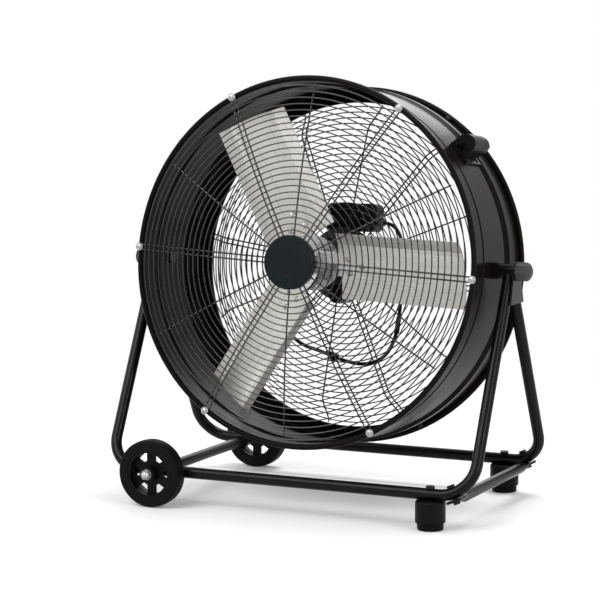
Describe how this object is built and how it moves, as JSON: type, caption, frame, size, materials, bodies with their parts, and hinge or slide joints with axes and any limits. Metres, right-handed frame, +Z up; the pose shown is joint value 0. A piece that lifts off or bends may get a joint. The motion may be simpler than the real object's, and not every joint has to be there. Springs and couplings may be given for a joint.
{
  "type": "drum fan",
  "caption": "Floor-standing drum fan: round steel drum with wire grilles, folded sheet blades and an axial motor, tilting in a tube frame with wheels at one end and feet at the other.",
  "frame": {"origin": "on the floor under the middle of the whole fan, with the tilt axis straight above it", "axes": "+Z up, -Y the way the air leaves through the front grille, +X towards the end with the feet; the wheels are at -X"},
  "size_m": [0.8056, 0.493, 0.7894],
  "materials": {
    "drum_paint": "gloss black enamel",
    "frame_paint": "semi-gloss black powder coat",
    "wire_paint": "semi-gloss black powder coat",
    "motor_paint": "satin dark grey",
    "blade_metal": "satin mill finish",
    "zinc_steel": "zinc plated",
    "bare_steel": "machined",
    "black_plastic": "fine moulded grain",
    "hub_plastic": "smooth satin black",
    "grey_plastic": "fine moulded grain",
    "wheel_plastic": "fine moulded grain",
    "cable_sheath": "matte",
    "rubber": "matte",
    "wheel_tyre": "matte"
  },
  "bodies": {
    "frame": {"front_frame_loop": "frame_paint", "rear_frame_loop": "frame_paint", "apex_parts": "frame_paint", "cross_brace": "frame_paint", "rail_bolts": "zinc_steel", "axle_tube": "frame_paint", "axle_hardware": "zinc_steel", "foot_caps": "black_plastic", "foot_soles": "rubber"},
    "drum": {"drum_shell": "drum_paint", "inlet_ring": "drum_paint", "front_grille": "wire_paint", "rear_grille_rings": "wire_paint", "rear_grille_side_rings": "wire_paint", "rear_grille_spokes": "wire_paint", "front_hub_cap": "hub_plastic", "front_hub_plate": "drum_paint", "motor_mount_plate": "wire_paint", "inlet_ring_bolts": "zinc_steel", "front_grille_screws": "zinc_steel", "rear_grille_screws": "zinc_steel", "front_hub_screws": "zinc_steel", "motor_bolts": "zinc_steel", "switch_box_screws": "zinc_steel", "handle_fasteners": "zinc_steel", "pivot_hardware": "zinc_steel", "motor_housing": "motor_paint", "motor_front_cover": "motor_paint", "motor_rear_cover": "motor_paint", "motor_bearings": "bare_steel", "motor_stator": "bare_steel", "motor_capacitor": "black_plastic", "capacitor_strap": "zinc_steel", "motor_grommet": "rubber", "motor_lead": "cable_sheath", "lead_clip": "black_plastic", "lead_sleeve": "cable_sheath", "cable_glands": "grey_plastic", "switch_box": "black_plastic", "switch_box_lid": "black_plastic", "selector_switch": "black_plastic", "switch_box_clamp": "zinc_steel", "handle_bracket": "frame_paint", "handle_grip": "black_plastic", "pivot_bosses": "black_plastic"},
    "fan": {"motor_shaft": "bare_steel", "motor_rotor": "bare_steel", "blade_spider": "bare_steel", "blade_1": "blade_metal", "blade_2": "blade_metal", "blade_3": "blade_metal", "blade_rivets": "zinc_steel", "shaft_nut": "zinc_steel"},
    "front_wheel": {"front_wheel_tyre": "wheel_tyre", "front_wheel_hub": "wheel_plastic"},
    "rear_wheel": {"rear_wheel_tyre": "wheel_tyre", "rear_wheel_hub": "wheel_plastic"},
    "left_tilt_knob": {"left_tilt_knob": "grey_plastic"},
    "right_tilt_knob": {"right_tilt_knob": "grey_plastic"},
    "speed_knob": {"speed_knob": "black_plastic"}
  },
  "joints": [
    {"name": "drum_tilt", "type": "hinge", "parent": "frame", "child": "drum", "pos_m": [0, 0, 0.44], "axis": [-1, 0, 0], "range_deg": [-96, 84]},
    {"name": "fan_spin", "type": "hinge", "parent": "drum", "child": "fan", "pos_m": [0, 0, 0.44], "axis": [0, 0.9945, -0.1045], "continuous": true},
    {"name": "front_wheel_roll", "type": "hinge", "parent": "frame", "child": "front_wheel", "pos_m": [-0.256, -0.215, 0.0625], "axis": [0, 1, 0], "continuous": true},
    {"name": "rear_wheel_roll", "type": "hinge", "parent": "frame", "child": "rear_wheel", "pos_m": [-0.256, 0.215, 0.0625], "axis": [0, 1, 0], "continuous": true},
    {"name": "left_knob_turn", "type": "hinge", "parent": "drum", "child": "left_tilt_knob", "pos_m": [-0.39, 0, 0.44], "axis": [-1, 0, 0], "range_deg": [0, 360]},
    {"name": "right_knob_turn", "type": "hinge", "parent": "drum", "child": "right_tilt_knob", "pos_m": [0.39, 0, 0.44], "axis": [1, 0, 0], "range_deg": [0, 360]},
    {"name": "speed_knob_turn", "type": "hinge", "parent": "drum", "child": "speed_knob", "pos_m": [0.026, 0.12666, 0.51618], "axis": [0, -0.9945, 0.1045], "range_deg": [0, 270]}
  ]
}
